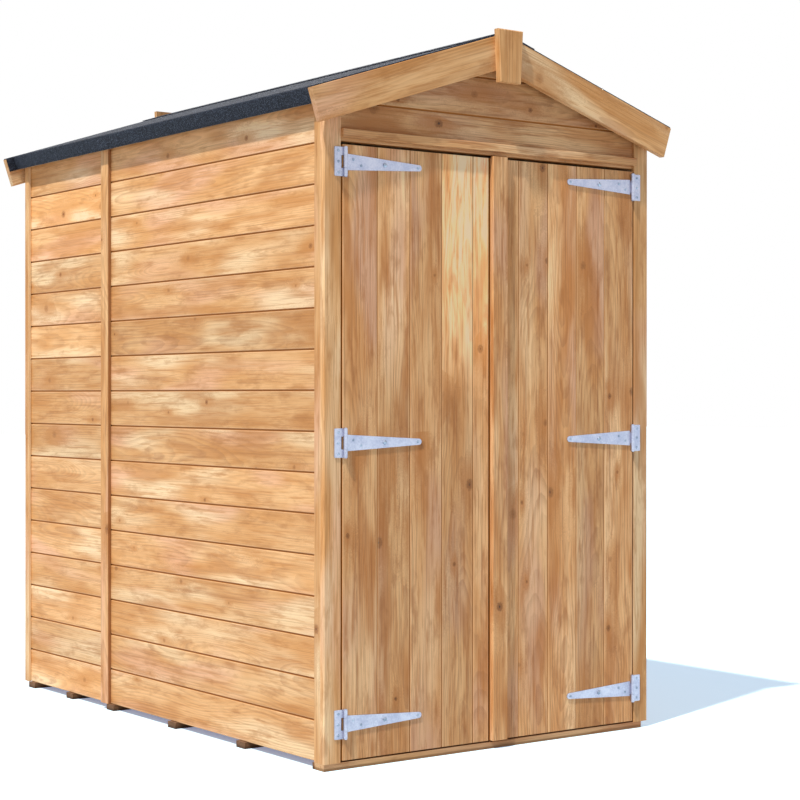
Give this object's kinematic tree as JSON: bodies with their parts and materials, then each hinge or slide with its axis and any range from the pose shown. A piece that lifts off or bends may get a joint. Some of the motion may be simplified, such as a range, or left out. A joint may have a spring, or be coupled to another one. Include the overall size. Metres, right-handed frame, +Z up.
{
  "type": "wooden garden shed",
  "caption": "Windowless wooden garden shed with horizontal boarding, a felted apex roof with bargeboards and finials, and ledged double doors on T-hinges.",
  "frame": {"origin": "on the ground, at the centre of the shed's overall length and width", "axes": "+X to the right along the front, seen from in front; +Y from the doors to the back wall; +Z up"},
  "size_m": [1.3308, 1.999, 2.074],
  "materials": {
    "cladding": "planed pressure-treated pine boards, honey brown",
    "door_timber": "planed pressure-treated pine boards, mid brown",
    "trim": "planed pine trims",
    "framing": "sawn pine framing",
    "floor_timber": "planed pine floor boards",
    "bearer": "sawn treated bearers",
    "roof_sheet": "planed pine roof boards",
    "felt": "mineral-surfaced bitumen felt, matt",
    "galvanised": "galvanised steel, satin"
  },
  "bodies": {
    "root": {"floor_bearers": "bearer", "floor_deck": "floor_timber", "wall_left_front": "cladding", "wall_left_back": "cladding", "wall_right_front": "cladding", "wall_right_back": "cladding", "wall_back": "cladding", "gable_front": "door_timber", "studs_left": "framing", "studs_right": "framing", "studs_back": "framing", "rails_left": "framing", "rails_right": "framing", "rails_back": "framing", "door_jambs": "framing", "door_header": "framing", "gable_rafters": "framing", "corner_post_left": "trim", "corner_post_right": "trim", "side_trims": "trim", "back_trims": "trim", "joint_covers": "trim", "drip_strip": "trim", "roof_boards_left": "roof_sheet", "roof_boards_right": "roof_sheet", "ridge_beam": "framing", "purlins": "framing", "eaves_battens": "framing", "roof_felt_left": "felt", "roof_felt_right": "felt", "roof_felt_ridge": "felt", "bargeboard_front_left": "trim", "bargeboard_front_right": "trim", "bargeboard_back_left": "trim", "bargeboard_back_right": "trim", "finial_front": "trim", "finial_back": "trim", "hinge_plates_left": "galvanised", "hinge_plates_right": "galvanised", "hinge_pins": "galvanised"},
    "left_door": {"left_door_boards": "door_timber", "left_door_ledges": "framing", "left_door_braces": "framing", "left_door_straps": "galvanised"},
    "right_door": {"right_door_boards": "door_timber", "right_door_ledges": "framing", "right_door_braces": "framing", "right_door_straps": "galvanised", "door_cover_strip": "door_timber"}
  },
  "joints": [
    {"name": "left_door_swing", "type": "hinge", "parent": "root", "child": "left_door", "pos_m": [-0.534, -0.9485, 0.892], "axis": [0, 0, -1], "range_deg": [0, 170]},
    {"name": "right_door_swing", "type": "hinge", "parent": "root", "child": "right_door", "pos_m": [0.534, -0.9485, 0.892], "axis": [0, 0, 1], "range_deg": [0, 170]}
  ]
}
